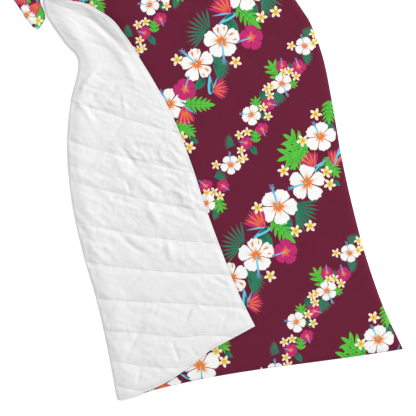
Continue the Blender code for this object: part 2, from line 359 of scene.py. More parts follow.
# Soft creases of the folded part as the picture shows them: half width in millimetres, height,
# which is below zero for a trough, and then the x and y of each knot in pixels.
CREASES = (
    (10, -3.8, 80, 4, 88, 16, 97, 24, 104, 30, 112, 38, 120, 46, 127, 54),
    (17, 4.4, 88, 24, 103, 37, 117, 49, 124, 60, 130, 72, 136, 88, 138, 97),
    (10, 7.0, 101, 68, 92, 76, 84, 86, 78, 98),
    (9, -4.0, 104, 84, 95, 92, 88, 101),
    (26, 3.5, 60, 10, 70, 25, 79, 40, 88, 56),
    (9, 3.2, 70, 98, 78, 102, 86, 112, 95, 126),
    (6, -2.0, 86, 104, 93, 113, 99, 122),
    (7, -3.5, 105, 101, 119, 85),
    (8, 2.0, 124, 92, 124, 104, 127, 114),
    (8, -5.0, 118, 144, 124, 151, 131, 159, 137, 172),
    (14, 2.5, 112, 150, 122, 165, 126, 176),
    (6, 3.0, 159, 152, 164, 160),
    (6, -3.0, 160, 171, 168, 173, 177, 176),
    (7, -4.0, 138, 176, 148, 180, 157, 186, 166, 193),
    (6, -3.0, 125, 178, 128, 186, 131, 195),
    (13, 3.8, 146, 203, 152, 213, 160, 227),
    (4, -1.8, 130, 216, 139, 226),
    (4, -1.2, 133, 214, 142, 224),
    (13, 4.2, 168, 184, 178, 192, 190, 206, 199, 220),
    (6, -2.0, 172, 200, 181, 212),
    (9, -4.5, 118, 233, 127, 242, 137, 250, 150, 256),
    (12, 3.8, 166, 238, 169, 249, 174, 264),
    (4, -1.8, 85, 235, 96, 245),
    (4, -1.0, 88, 231, 99, 241),
    (6, 2.2, 184, 264, 190, 256, 198, 262, 207, 266),
    (6, -2.0, 198, 241, 205, 237, 213, 232),
    (6, -3.2, 211, 277, 219, 281, 229, 287),
    (4, -1.5, 226, 294, 233, 287),
    (5, -2.4, 199, 294, 209, 280),
    (5, -2.8, 181, 326, 188, 316, 192, 305),
    (5, -3.0, 104, 319, 116, 303),
    (6, -3.8, 121, 362, 130, 350, 137, 337, 143, 328),
    (6, -2.2, 96, 187, 112, 165, 122, 153),
    (9, 2.2, 106, 323, 120, 328, 140, 330),
    (9, 2.5, 110, 343, 117, 350, 113, 358),
    (6, -3.4, 171, 339, 175, 350, 180, 362),
    (5, -3.0, 141, 369, 137, 385),
    (5, -3.0, 189, 347, 199, 357),
    (5, -1.6, 136, 361, 145, 366, 152, 366),
    (5, -2.4, 220, 333, 224, 322, 229, 311),
    (5, -2.2, 153, 316, 158, 303),
    (8, 1.8, 140, 352, 152, 349, 166, 350),
    (6, 2.0, 116, 363, 128, 372, 140, 377),
    (6, 1.8, 100, 250, 92, 254, 86, 260),
    (7, 1.8, 103, 245, 112, 254, 118, 260),
    (8, 2.4, 186, 180, 189, 192, 192, 204),
    (6, -2.0, 196, 206, 191, 214, 200, 226),
    (9, 1.6, 160, 318, 152, 322, 140, 322),
    (8, 1.4, 180, 284, 196, 279, 203, 287),
    (5, -1.4, 138, 266, 146, 256),
)


def crease_heights(points):
    """Height of the soft creases at the points of a grid."""
    spots = points[..., 0] + 1j * points[..., 1]
    total = np.zeros(spots.shape)
    for half_width, height, *path in CREASES:
        knots = [on_plan(*knot) for knot in zip(path[::2], path[1::2])]
        nearest = np.full(spots.shape, np.inf)
        travel = np.zeros(spots.shape)
        gone = 0.0
        whole = sum(abs(end - start) for start, end in zip(knots, knots[1:]))
        for start, end in zip(knots, knots[1:]):
            run = abs(end - start)
            offset = (spots - start) * ((end - start) / run).conjugate()
            ahead = np.clip(offset.real, 0.0, run)
            distance = np.abs(offset - ahead)
            closer = distance < nearest
            nearest = np.where(closer, distance, nearest)
            travel = np.where(closer, gone + ahead, travel)
            gone += run
        rise = CREASE_RISE * whole
        fade = smoothstep(CREASE_END + travel / rise) * smoothstep(CREASE_END + (whole - travel) / rise)
        total += height * fade * ridge(nearest, 0.0, half_width)
    return total


# The fold's roll settles by this much, and as far inwards as this.
SETTLE = FOLD_RADIUS
SHOULDER = 30.0
# Near the head the hem of the folded part curls up: height, width, and where the curl begins
# and ends up the quilt, with the lengths over which it comes and goes.
CURL = 15.0
CURL_WIDTH = 58.0
CURL_FROM, CURL_COMES = 1130.0, 110.0
CURL_TO, CURL_GOES = 1480.0, 60.0
# Creases run out to this share at a hem, from this distance.
CREASED_HEM = 0.25
CREASED_FROM = 40.0
# A point belongs to the folded part once its front side looks down as steeply as this, and to
# the turn once it looks up less than that.
FACE_DOWN, FACE_DOWN_OVER = 0.8, 0.15
FACE_UP = 0.999
# The lowest that the folded part's two cloths may sink, just above the print that they lie on.
FRONT_REST = LYING_HEIGHT + HALF_GAP + CROWN + 0.6
BACK_REST = FRONT_REST + 2.2


def to_hem(across, along):
    """Distance from the nearest hem."""
    return np.minimum(np.minimum(across, QUILT_WIDTH - across), np.minimum(along, QUILT_LENGTH - along))


def cloth_parts(front_side, across):
    """Distances along, from the hem, and the share by which points belong to the folded part."""
    along = np.repeat(stations[:, None], across.shape[1], axis=1)
    past_turn = smoothstep((np.arange(across.shape[1]) - LYING_STEPS - TURN_STEPS / 2) / (TURN_STEPS / 2))
    on_top = past_turn[None, :] * smoothstep((-front_side[..., 2] - FACE_DOWN) / FACE_DOWN_OVER)
    return along, to_hem(across, along), on_top


def lift(joint, front_side, across, along, from_hem, on_top):
    """What creases, the curled hem, the soft roll of the fold and the hems add to the height."""
    fold_line = joint[:, LYING_STEPS + TURN_STEPS // 2, :2][:, None, :]
    from_fold = np.linalg.norm(joint[..., :2] - fold_line, axis=2)
    # The fold is a soft roll, lower and broader than a half circle.
    roll = SETTLE * np.clip((joint[..., 2] - LYING_HEIGHT) / (2.0 * FOLD_RADIUS), 0.0, 1.0)
    roll *= ridge(from_fold, 0.0, SHOULDER) * (front_side[..., 2] < FACE_UP)
    curl = CURL * np.clip(1.0 - (QUILT_WIDTH - across) / CURL_WIDTH, 0.0, 1.0) * on_top
    curl *= smoothstep((along - CURL_FROM) / CURL_COMES) * smoothstep((CURL_TO - along) / CURL_GOES)
    creased = crease_heights(joint) * on_top * smoothstep(CREASED_HEM + from_hem / CREASED_FROM)
    # The hems of the lying part drop to the floor.
    drop = (CROWN - HEM) * (1.0 - smoothstep(from_hem / HEM_TAPER)) * np.clip(front_side[..., 2], 0.0, 1.0)
    return creased + curl - roll - drop


joint, front_side, across = cloth_grid(FLAP_STEPS)
along, from_hem, on_top = cloth_parts(front_side, across)
folded_widths = QUILT_WIDTH - across[:, LYING_STEPS + TURN_STEPS]
sewn = drawn(across, along)

# The folded part's wadding is free of the weight above: its loft on a stitch line and far from
# any, and how far a line draws it in.
FREE_SEAM = 0.9
FREE_CROWN = 5.0
FREE_REACH = 15.0
# Near the head the pull of the fold has flattened most of the quilting: from this distance up
# the first family's lines on and over that length, to this loft, and by that share.
PULLED_FROM, PULLED_OVER = 1475.0, 60.0
PULLED_LOFT, PULLED_SHARE = 0.8 * FREE_CROWN, 0.8
# Puckers beside the seams: how far they reach from each family, and the second one's share.
PUCKER_REACH = (26.0, 22.0)
PUCKER_SECOND = 0.25
# Ripples: length, width, lean in radians, the noise's own seed, height everywhere and the
# height that comes on where the cloth puckers.
RIPPLES = (
    (60.0, 16.0, -0.9, 3.0, 0.45, 0.8), (24.0, 12.0, 1.2, 8.0, 0.25, 0.5),
    (90.0, 50.0, -0.5, 13.0, 0.9, 0.0), (160.0, 60.0, -0.8, 5.0, 1.2, 0.0))
# Wrinkles with sharp crests run down to the right: length, width, lean, seed and height. Then
# half a crest's width in the noise and its mean.
WRINKLES = (
    (130.0, 40.0, -0.85, 41.0, 6.0), (80.0, 26.0, -0.6, 52.0, 3.4), (70.0, 24.0, -1.2, 63.0, 3.0),
    (60.0, 22.0, 0.9, 74.0, 2.2))
CREST_HALF = 0.35
CREST_MEAN = 0.12
# The wrinkles' share at least and what they gain where they are densest, at this distance up the
# quilt and within that reach. Then the share that ends, from where on and over what length.
WRINKLED_LEAST, WRINKLED_GAIN = 0.55, 0.75
WRINKLED_MIDDLE, WRINKLED_REACH = 640.0, 260.0
WRINKLED_LOSS, WRINKLED_TO, WRINKLES_GO = 0.85, 1080.0, 130.0
# Towards its lower corner the folded part slopes down to the free hem: height, the share of its
# width over which it rises from the fold, and where the slope ends up the quilt.
SLOPE_HEIGHT = 9.0
SLOPE_RISE = 0.4
SLOPE_TO, SLOPE_GOES = 620.0, 500.0
# The bagged edge: a thin rolled rim and a groove inside it, by height and distances from the hem.
RIM_HEIGHT = 0.5
RIM_AT, RIM_HALF = 3.0, 2.5
GROOVE_AT, GROOVE_WIDTH = 8.5, 3.0
# The folded part's hem tapers over this much more length, and rises sooner by this power.
FREE_TAPER, FREE_EASE = 4.0, 0.2
# Up to the first of these distances the folded part rests on the print. Past the second the
# cloth beside the notch lies with its inner side down, and so has to clear the floor.
RESTS_TO = 1480.0
NOTCH_FROM = 1470.0

# The second family of lines is sewn as the first one, but shows only here and there.
second_share = patches(0.45, 0.95, 1.2, 150.0, 110.0, 0.4, 21.0)
free_loft = FREE_SEAM + (FREE_CROWN - FREE_SEAM) * puff(across, sewn, FREE_REACH, second_share)
up_the_lines = sewn * math.cos(STITCH_ANGLE) + across * math.sin(STITCH_ANGLE)
pulled_flat = PULLED_SHARE * smoothstep((up_the_lines - PULLED_FROM) / PULLED_OVER)
free_loft += (PULLED_LOFT - free_loft) * pulled_flat
near_first, near_second = from_stitches(across, sewn)
pucker = np.exp(-near_first / PUCKER_REACH[0]) + PUCKER_SECOND * np.exp(-near_second / PUCKER_REACH[1])
for length, width, lean, seed, height, puckered in RIPPLES:
    free_loft += (height + puckered * pucker) * ripple(across, along, length, width, lean, seed)
slope_share = np.clip((across - (QUILT_WIDTH - folded_widths[:, None])) / folded_widths[:, None], 0.0, 1.0)
slope = (1.0 - slope_share) * smoothstep(slope_share / SLOPE_RISE)
free_loft += SLOPE_HEIGHT * slope * smoothstep((SLOPE_TO - along) / SLOPE_GOES)
wrinkled = patches(0.25, 1.0, 1.6, 240.0, 150.0, -0.4, 33.0)
wrinkled *= WRINKLED_LEAST + WRINKLED_GAIN * ridge(along, WRINKLED_MIDDLE, WRINKLED_REACH)
wrinkled *= 1.0 - WRINKLED_LOSS * smoothstep((along - WRINKLED_TO) / WRINKLES_GO)
for length, width, lean, seed, height in WRINKLES:
    crest = np.abs(ripple(across, along, length, width, lean, seed))
    free_loft -= height * wrinkled * (np.minimum(crest, CREST_HALF) - CREST_MEAN)
loft = CROWN + (free_loft - CROWN) * on_top
rim = RIM_HEIGHT * (ridge(from_hem, RIM_AT, RIM_HALF) - ridge(from_hem, GROOVE_AT, GROOVE_WIDTH))
taper = smoothstep(from_hem / (HEM_TAPER + FREE_TAPER * on_top)) ** (1.0 - FREE_EASE * on_top)
loft = HEM + (loft - HEM) * taper + rim * on_top

back_points = joint - front_side * (HALF_GAP + loft)[..., None]
back_points[..., 2] += lift(joint, front_side, across, along, from_hem, on_top)
sunk = np.maximum(BACK_REST - back_points[..., 2], 0.0) * on_top * (along < RESTS_TO)
turned_down = (along > NOTCH_FROM) & (np.arange(across.shape[1]) >= LYING_STEPS)
back_points[..., 2] = np.maximum(back_points[..., 2] + sunk, CLOTH_THICKNESS / MM * turned_down)


def panel_object(name, points):
    """A panel as one piece: a grid whose corners are moved to the cloth's points."""
    rows, cols = points.shape[:2]
    panel = bmesh.new()
    bmesh.ops.create_grid(panel, x_segments=cols - 1, y_segments=rows - 1, size=1.0)
    place = points.reshape(-1, 3) * MM + np.array([PLAN_X, PLAN_Y, 0.0])
    cloth = panel.loops.layers.uv.new("cloth")
    panel.verts.ensure_lookup_table()
    for vertex, point in zip(panel.verts, place):
        vertex.co = point
    flat_across, flat_along = across.ravel() * MM, sewn.ravel() * MM
    for face in panel.faces:
        face.smooth = True
        for loop in face.loops:
            loop[cloth].uv = (flat_across[loop.vert.index], flat_along[loop.vert.index])
    return new_object(name, panel)


def thicken(piece, thickness, hem_only=False):
    """Gives a panel the thickness of its cloth, inwards from the outer face."""
    shell = piece.modifiers.new("cloth", "SOLIDIFY")
    shell.thickness = thickness
    shell.offset = -1.0
    shell.use_rim_only = hem_only


def plug(tree, socket, value):
    """Links another node's socket to this one, or else sets it to a value."""
    if isinstance(value, bpy.types.NodeSocket):
        tree.links.new(value, socket)
    else:
        socket.default_value = value


def math_step(tree, operation, *parts):
    """One Math node's output from one or two sockets or numbers."""
    node = tree.nodes.new("ShaderNodeMath")
    node.operation = operation
    for socket, value in zip(node.inputs, parts):
        plug(tree, socket, value)
    return node.outputs["Value"]


def new_group(name, vectors, values):
    """A shader node group, vectors in and single values out: its tree, input and output node."""
    tree = bpy.data.node_groups.new(name, "ShaderNodeTree")
    for socket in vectors:
        tree.interface.new_socket(socket, in_out="INPUT", socket_type="NodeSocketVector")
    for socket in values:
        tree.interface.new_socket(socket, in_out="OUTPUT", socket_type="NodeSocketFloat")
    return tree, tree.nodes.new("NodeGroupInput"), tree.nodes.new("NodeGroupOutput")


# The quilting's thread: over the cloth's own coordinates in metres it gives a mask along the
# stitch lines, which the materials use as painted shade in the seams' grooves, and the height of
# single stitches sunk between their needle holes. Half widths in millimetres of a seam's groove
# and of its thread, then waves of the stitches in a metre.
GROOVE_HALF = 1.6
THREAD_HALF = 0.6
STITCH_WAVES = 1100.0
# The thread's dip between stitches and its height, the seam's share in the cloth's height, and
# the second family's share of the first.
THREAD_DIP = -0.4
THREAD_HEIGHT = 0.5
SEAM_SHARE = 0.8
SECOND_DEPTH = 0.35
# What is left of the lines where the cloth is pulled flat, towards the head.
PULLED_THREAD = 0.15
stitch_tree, stitch_in, stitch_out = new_group("quilting_thread", ["Cloth"], ["Line", "Height"])
step = functools.partial(math_step, stitch_tree)
split = stitch_tree.nodes.new("ShaderNodeSeparateXYZ")
stitch_tree.links.new(stitch_in.outputs["Cloth"], split.inputs["Vector"])
sideways = step("MULTIPLY", split.outputs["X"], math.sin(STITCH_ANGLE))
upwards = step("MULTIPLY", split.outputs["Y"], math.cos(STITCH_ANGLE))
tension = fill_inputs(stitch_tree.nodes.new("ShaderNodeMapRange"), {
    "From Min": PULLED_FROM * MM, "From Max": (PULLED_FROM + PULLED_OVER) * MM,
    "To Min": 1.0, "To Max": PULLED_THREAD})
stitch_tree.links.new(step("ADD", upwards, sideways), tension.inputs["Value"])
lines, heights = [], []
for operation, offset, run_operation in (("ADD", 0.0, "SUBTRACT"), ("SUBTRACT", SECOND_OFFSET, "ADD")):
    order = step("DIVIDE", step(operation, upwards, sideways), STITCH_PITCH * MM)
    aside = step("MULTIPLY", step("PINGPONG", step("ADD", order, offset), 0.5), STITCH_PITCH)
    line = step("MAXIMUM", step("SUBTRACT", 1.0, step("DIVIDE", aside, GROOVE_HALF)), 0.0)
    run = step(run_operation, split.outputs["Y"], split.outputs["X"])
    dash = step("MAXIMUM", step("SINE", step("MULTIPLY", run, STITCH_WAVES)), THREAD_DIP)
    thread = step("MAXIMUM", step("SUBTRACT", 1.0, step("DIVIDE", aside, THREAD_HALF)), 0.0)
    thread = step("MULTIPLY", thread, dash)
    lines.append(step("MULTIPLY", line, tension.outputs["Result"]))
    height = step("SUBTRACT", step("MULTIPLY", thread, THREAD_HEIGHT), line)
    heights.append(step("MULTIPLY", height, tension.outputs["Result"]))
lines[1], heights[1] = (step("MULTIPLY", part, SECOND_DEPTH) for part in (lines[1], heights[1]))
stitch_tree.links.new(step("MAXIMUM", *lines), stitch_out.inputs["Line"])
stitch_tree.links.new(step("ADD", *heights), stitch_out.inputs["Height"])

# Brushed polyester: a fine plain weave under a short nap, in millimetres of height, and a
# tone that varies a little from place to place. Yarn waves are radians to a metre.
YARN_WAVES = 7800.0
WEAVE_HEIGHT = 0.03
NAP_HEIGHT = 0.12
CRUMPLE_HEIGHT = 0.7
NAP_TONE = 0.6
MIDDLE_TONE = 0.8
weave_tree, weave_in, weave_out = new_group("brushed_weave", ["Cloth", "Place"], ["Height", "Tone"])
step = functools.partial(math_step, weave_tree)


def cloth_noise(scale, detail):
    """A noise texture's output over the weave's place."""
    texture = fill_inputs(weave_tree.nodes.new("ShaderNodeTexNoise"), {"Scale": scale, "Detail": detail})
    weave_tree.links.new(weave_in.outputs["Place"], texture.inputs["Vector"])
    return texture.outputs["Fac"]


threads = weave_tree.nodes.new("ShaderNodeSeparateXYZ")
weave_tree.links.new(weave_in.outputs["Cloth"], threads.inputs["Vector"])
warp_yarn, weft_yarn = (step("SINE", step("MULTIPLY", threads.outputs[axis], YARN_WAVES)) for axis in "XY")
weave = step("MULTIPLY", step("MULTIPLY", warp_yarn, weft_yarn), WEAVE_HEIGHT)
nap, crumple, mottle = cloth_noise(900.0, 3.0), cloth_noise(70.0, 4.0), cloth_noise(9.0, 5.0)
weave_and_nap = step("ADD", weave, step("MULTIPLY", nap, NAP_HEIGHT))
height_sum = step("ADD", weave_and_nap, step("MULTIPLY", crumple, CRUMPLE_HEIGHT))
weave_tree.links.new(height_sum, weave_out.inputs["Height"])
mixed_tone = step("ADD", mottle, step("MULTIPLY", nap, NAP_TONE))
weave_tree.links.new(step("SUBTRACT", mixed_tone, MIDDLE_TONE), weave_out.inputs["Tone"])


def cloth_finish(tree, shader, colour, tone_depth, painted_groove_shade, height_share):
    """Adds the weave, its tone, painted shade along the seams' grooves and the quilting thread's relief to a
    cloth's material of one colour or socket.
    """
    nodes, links = tree.nodes, tree.links
    cloth = nodes.new("ShaderNodeUVMap")
    cloth.uv_map = "cloth"
    place = nodes.new("ShaderNodeTexCoord")
    weave_node = nodes.new("ShaderNodeGroup")
    weave_node.node_tree = weave_tree
    links.new(cloth.outputs["UV"], weave_node.inputs["Cloth"])
    links.new(place.outputs["Object"], weave_node.inputs["Place"])
    thread_node = nodes.new("ShaderNodeGroup")
    thread_node.node_tree = stitch_tree
    links.new(cloth.outputs["UV"], thread_node.inputs["Cloth"])
    tone = math_step(tree, "MULTIPLY", weave_node.outputs["Tone"], tone_depth)
    # Painted shade: the colour darkens by this depth along the grooves of the stitch lines.
    shade = math_step(tree, "MULTIPLY", thread_node.outputs["Line"], -painted_groove_shade)
    factor = math_step(tree, "ADD", 1.0, math_step(tree, "ADD", tone, shade))
    toned = nodes.new("ShaderNodeVectorMath")
    toned.operation = "SCALE"
    plug(tree, toned.inputs[0], colour)
    links.new(factor, toned.inputs["Scale"])
    links.new(toned.outputs["Vector"], shader.inputs["Base Color"])
    sunk_thread = math_step(tree, "MULTIPLY", thread_node.outputs["Height"], SEAM_SHARE)
    height = math_step(tree, "ADD", weave_node.outputs["Height"], sunk_thread)
    bump = fill_inputs(nodes.new("ShaderNodeBump"), {"Strength": 1.0, "Distance": MM})
    links.new(math_step(tree, "MULTIPLY", height, height_share), bump.inputs["Height"])
    links.new(bump.outputs["Normal"], shader.inputs["Normal"])


WHITE_CLOTH = (0.67, 0.67, 0.674)
quilted_back = panel_object("white_back", back_points)
thicken(quilted_back, CLOTH_THICKNESS)
back_tree, back_shader = plain_material(
    quilted_back, "white_back", WHITE_CLOTH,
    {"Roughness": 0.85, "Sheen Weight": 0.15, "Sheen Roughness": 0.6})
# The white back's colour is darkened along the seams' grooves as painted shade.
cloth_finish(back_tree, back_shader, WHITE_CLOTH, tone_depth=0.05, painted_groove_shade=0.05, height_share=1.0)
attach(quilted_back, "root")
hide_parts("quilted_back")

# The printed front: smooth brushed polyester in plum, printed with slanting garlands of white
# and magenta hibiscus, frangipani, strelitzia and palm leaves. It is the quilt's other panel,
# sewn to the back at the hem and by the same stitch lines, and turns under at the fold.

# The studio's light is this much stronger than the one in which the inks' colours were named.
LIGHT_GAIN = 1.22


def ink(*screen_values):
    """A printing ink's linear colour from the 0 to 255 values of a screen."""
    parts = np.array(screen_values) / 255.0
    return np.where(parts <= 0.04045, parts / 12.92, ((parts + 0.055) / 1.055) ** 2.4) / LIGHT_GAIN


PLUM = ink(103, 20, 50)
SLOT = ink(96, 44, 52)
WHITE, PETAL_EDGE = ink(246, 246, 244), ink(226, 217, 212)
THROAT, PALE_THROAT = ink(236, 122, 36), ink(244, 186, 128)
MAGENTA, DARK_MAGENTA, PINK = ink(192, 40, 112), ink(150, 22, 78), ink(214, 70, 140)
STAMEN, STAMEN_TIP = ink(112, 200, 232), ink(96, 140, 176)
CREAM, YELLOW, AMBER = ink(250, 246, 232), ink(246, 214, 92), ink(226, 160, 44)
GREEN, DARK_GREEN = ink(86, 196, 60), ink(40, 142, 56)
TEAL, DARK_TEAL, LIGHT_TEAL = ink(38, 122, 92), ink(26, 84, 76), ink(72, 156, 116)
CYAN, ORANGE = ink(104, 198, 232), ink(238, 116, 44)
FIFTH = 2.0 * math.pi / 5.0


def mirrored(*half):
    """An outline from its lower half, with the points off the axis mirrored over it."""
    return (*half, *(point.conjugate() for point in reversed(half) if point.imag))


# Outlines of single leaves and petals, along the real axis and one unit long. A petal is given
# by one side, and its half width.
PETAL_HALF_WIDTH = 0.44
PETAL = (0.03 + 0.03j, 0.26 + 0.18j, 0.47 + 0.33j, 0.66 + 0.43j, 0.80 + 0.42j, 0.88 + 0.35j,
         0.92 + 0.25j, 0.99 + 0.17j, 0.98 + 0.05j)
FLARE = (0.0 - 0.05j, 0.32 - 0.17j, 0.20 - 0.07j, 0.50 - 0.10j, 0.26 - 0.02j, 0.62 + 0.015j,
         0.28 + 0.04j, 0.52 + 0.13j, 0.18 + 0.08j, 0.29 + 0.17j, 0.0 + 0.05j)
STAR_PETAL = (0.02 - 0.06j, 0.30 - 0.25j, 0.62 - 0.29j, 0.90 - 0.16j, 1.02 + 0.03j,
              0.82 + 0.18j, 0.46 + 0.22j, 0.04 + 0.08j)
LEAF_LOBE = (0.0 - 0.14j, 0.42 - 0.20j, 0.76 - 0.14j, 1.0 + 0.02j, 0.78 + 0.13j, 0.40 + 0.19j, 0.0 + 0.14j)
# The share of a cut leaf's length that bears its side fingers, and the half width from which a
# leaf has three pairs of them instead of five.
LOBED_LENGTH = 0.74
WIDE_LEAF = 0.4
LEAF_BODY = mirrored(0.0, 0.14 - 0.07j, 0.5 - 0.10j, 0.84 - 0.06j, 1.0)
PETAL_MARK = (0.0 + 0.0j, 0.5 - 0.13j, 0.95 - 0.17j, 0.62 - 0.03j, 1.0 + 0.03j, 0.6 + 0.09j,
              0.8 + 0.19j, 0.3 + 0.10j)
PETAL_GAP = mirrored(0.20, 0.42 - 0.022j, 0.72)
# A hibiscus's middle, its stamen's column and one of the column's small heads.
EYE = [0.10 * cmath.exp(1j * FIFTH * number) for number in range(5)]
COLUMN = mirrored(0.0 - 0.035j, 0.6 - 0.045j, 0.84 - 0.06j, 0.97 - 0.05j, 1.0)
STAMEN_HEAD = [0.04 * cmath.exp(1.26j * number) for number in range(5)]
# A palm fan's blades: how many, and one's outline.
BLADES = 11
BLADE = mirrored(0.0 - 0.014j, 0.34 - 0.046j, 0.70 - 0.043j, 1.0)
OVAL_LEAF = mirrored(0.0, 0.14 - 0.15j, 0.36 - 0.26j, 0.62 - 0.24j, 0.84 - 0.12j, 1.0)
SPIKE = (0.0 - 0.04j, 0.3 - 0.11j, 0.62 - 0.105j, 0.86 - 0.05j, 1.0 + 0.0j, 0.86 + 0.05j,
         0.62 + 0.09j, 0.3 + 0.09j, 0.0 + 0.04j)
THIN_SPIKE = (0.0 - 0.02j, 0.4 - 0.06j, 0.75 - 0.045j, 1.0 + 0.0j, 0.75 + 0.03j, 0.4 + 0.035j, 0.0 + 0.02j)
BEAK = (0.0 - 0.05j, 0.12 - 0.15j, 0.42 - 0.16j, 0.76 - 0.08j, 1.0 + 0.0j, 0.78 + 0.05j,
        0.42 + 0.10j, 0.12 + 0.09j, 0.0 + 0.03j)
BEAK_SHADE = (0.04 - 0.08j, 0.14 - 0.14j, 0.42 - 0.15j, 0.66 - 0.09j, 0.50 - 0.02j, 0.16 - 0.01j)

# Every inked shape in the order of printing: outline, its colours near and far from a point,
# that point, and the two distances between which one colour turns into the other.
inked = []


def print_shape(outline, at, size, angle, near, far=None, reach=(0.0, 1.0)):
    """Inks an outline of unit length, placed, scaled and turned on the plan."""
    turn = cmath.exp(1j * angle) * size
    points = [at + turn * point for point in outline]
    inked.append((points, near, near if far is None else far, at, reach[0] * size, reach[1] * size))


def between(start, end):
    """Distance and direction, in radians, from one point to another."""
    return abs(end - start), cmath.phase(end - start)


def out_from(at, distance, angle):
    """The point at a distance and angle; an imaginary part of the distance is a step aside."""
    return at + cmath.exp(1j * angle) * distance


def petal_outline(half_width, phase):
    """A broad petal of unit length, narrow at its foot and ruffled at its blunt end."""
    sides = []
    for side in (-1, 1):
        waves = [1.0 + 0.03 * math.sin(2.1 * number + phase + side) for number in range(len(PETAL))]
        sides.append([complex(point.real * wave, side * point.imag * wave * half_width / PETAL_HALF_WIDTH)
                      for point, wave in zip(PETAL, waves)])
    return sides[0] + sides[1][::-1]


# A hibiscus's inks: petal, its edge, throat, streaks and the gaps between petals.
WHITE_KIND = (WHITE, PETAL_EDGE, THROAT, PALE_THROAT, SLOT)
MAGENTA_KIND = (MAGENTA, DARK_MAGENTA, ORANGE, PINK, DARK_MAGENTA)


def hibiscus(at, radius, stamen_to, kind, half_width, marked=()):
    """A five-petalled hibiscus: ruffled petals, some marked, a streaked throat and a long stamen."""
    petal, edge, throat, streak, slot = kind
    reach, away = between(at, stamen_to)
    angles = [away + (number + 0.5) * FIFTH for number in range(5)]
    for number, (angle, share) in enumerate(zip(angles, (0.96, 1.05, 0.98, 1.04, 0.95))):
        shape = petal_outline(half_width, 1.7 * number + reach)
        print_shape(shape, at, radius * share * 1.01, angle, throat, edge, (0.2, 0.6))
        print_shape([0.03 + point * 0.95 for point in shape], at, radius * share, angle, petal)
    for angle, share in zip(angles, (1.06, 0.88, 0.98, 1.06, 0.88)):
        print_shape(FLARE, at, radius * share, angle, throat, streak, (0.16, 0.5))
        print_shape(PETAL_GAP, at, radius, angle + FIFTH / 2.0, slot)
    for angle in [angles[number] for number in marked]:
        for place, length in ((0.44 + 0.13j, 0.48), (0.56 - 0.2j, 0.34)):
            foot = out_from(at, radius * place, angle)
            lean = angle + 0.5 * place.imag
            print_shape(PETAL_MARK, foot, radius * length, lean, throat, streak, (0.4, 1.0))
    print_shape(EYE, at, radius, away, throat)
    print_shape(COLUMN, at, reach, away, STAMEN, STAMEN_TIP, (0.5, 1.0))
    for place in (0.86 - 0.085j, 0.9 + 0.085j, 0.98 - 0.07j, 1.02 + 0.06j):
        print_shape(STAMEN_HEAD, out_from(at, reach * place, away), reach, 0.0, STAMEN_TIP)


def frangipani(at, radius, phase):
    """A small white star of five turned petals with a yellow middle."""
    for number in range(5):
        print_shape(STAR_PETAL, at, radius * 1.06, phase + number * FIFTH, PETAL_EDGE)
        print_shape(STAR_PETAL, at, radius, phase + number * FIFTH, YELLOW, CREAM, (0.3, 0.85))
    star = [0.46 * cmath.exp(1j * (k * FIFTH / 2.0)) * (1.0 if k % 2 == 0 else 0.5) for k in range(10)]
    print_shape(star, at, radius, phase, AMBER, YELLOW, (0.1, 0.46))


def palm_fan(base, radius, from_degrees, to_degrees):
    """A palm leaf: teal blades set along its stalk, each with a light midrib."""
    for number in range(BLADES):
        part = number / (BLADES - 1)
        angle = math.radians(from_degrees + (to_degrees - from_degrees) * part)
        foot = out_from(base, 0.34 * part * radius, math.radians(to_degrees))
        size = radius * (0.80 + 0.20 * math.sin(math.pi * (0.15 + 0.6 * part))) * (1.0, 0.93)[number % 2]
        print_shape(BLADE, foot, size * (1.0 - 0.2 * part), angle, DARK_TEAL, TEAL, (0.1, 0.6))
        print_shape(mirrored(0.12 - 0.012j, 0.9), foot, size * 0.8, angle, LIGHT_TEAL)


def cut_leaf(base, tip, half_width):
    """A broad leaf cut into fingers on both sides of its midrib, each with a vein."""
    size, angle = between(base, tip)
    lobes = 5 if half_width < WIDE_LEAF else 3
    print_shape(LEAF_BODY, base, size, angle, GREEN)
    for number in range(lobes):
        foot = out_from(base, size * (0.02 + LOBED_LENGTH * number / lobes), angle)
        length = size * (0.12 + half_width * math.sin(math.pi * (0.28 + 0.6 * number / lobes)))
        spread = 0.98 - 0.09 * number
        # Gaps stay open between the fingers, however long they are.
        room = 0.92 * LOBED_LENGTH * size / lobes * math.sin(spread)
        narrow = min(1.0, room / (0.4 * length))
        finger = [complex(point.real, point.imag * narrow) for point in LEAF_LOBE]
        for lean in (angle - spread, angle + spread):
            print_shape(finger, foot, length, lean, GREEN)
            print_shape(mirrored(0.10 - 0.03j, 0.84), foot, length, lean, DARK_GREEN)
    print_shape(LEAF_LOBE, out_from(base, size * 0.62, angle), size * 0.38, angle, GREEN)
    print_shape(mirrored(0.0 - 0.016j, 0.92), base, size, angle, DARK_GREEN)


def oval_leaf(base, tip):
    """A pointed leaf with a midrib and side veins."""
    size, angle = between(base, tip)
    print_shape(OVAL_LEAF, base, size, angle, DARK_TEAL, TEAL, (0.1, 0.5))
    print_shape(mirrored(0.04 - 0.014j, 0.92), base, size, angle, DARK_TEAL)
    for share in (0.25, 0.42, 0.6):
        for side in (-1, 1):
            foot = out_from(base, size * share, angle)
            print_shape(mirrored(0.0 - 0.012j, 0.26), foot, size, angle + side * 0.75, DARK_TEAL)


def strelitzia(base, reach, from_degrees, to_degrees, beak_tip, beak_heel, blue_tip):
    """Magenta and orange spikes fanned out over a blue beak."""
    angles = np.radians(np.linspace(from_degrees, to_degrees, 5))
    for angle, share in zip(angles, (1.0, 0.96, 1.04, 0.92, 0.9)):
        print_shape(SPIKE, base, reach * share, angle, ORANGE, MAGENTA, (0.0, 0.45))
    for angle in (angles[:-1] + angles[1:]) / 2.0:
        print_shape(THIN_SPIKE, base, reach * 0.98, angle, MAGENTA, ORANGE, (0.1, 0.4))
    print_shape(THIN_SPIKE, base, *between(base, blue_tip), CYAN, STAMEN_TIP, (0.3, 1.0))
    print_shape(BEAK, beak_heel, *between(beak_heel, beak_tip), CYAN)
    print_shape(BEAK_SHADE, beak_heel, *between(beak_heel, beak_tip), DARK_TEAL, TEAL, (0.1, 0.7))


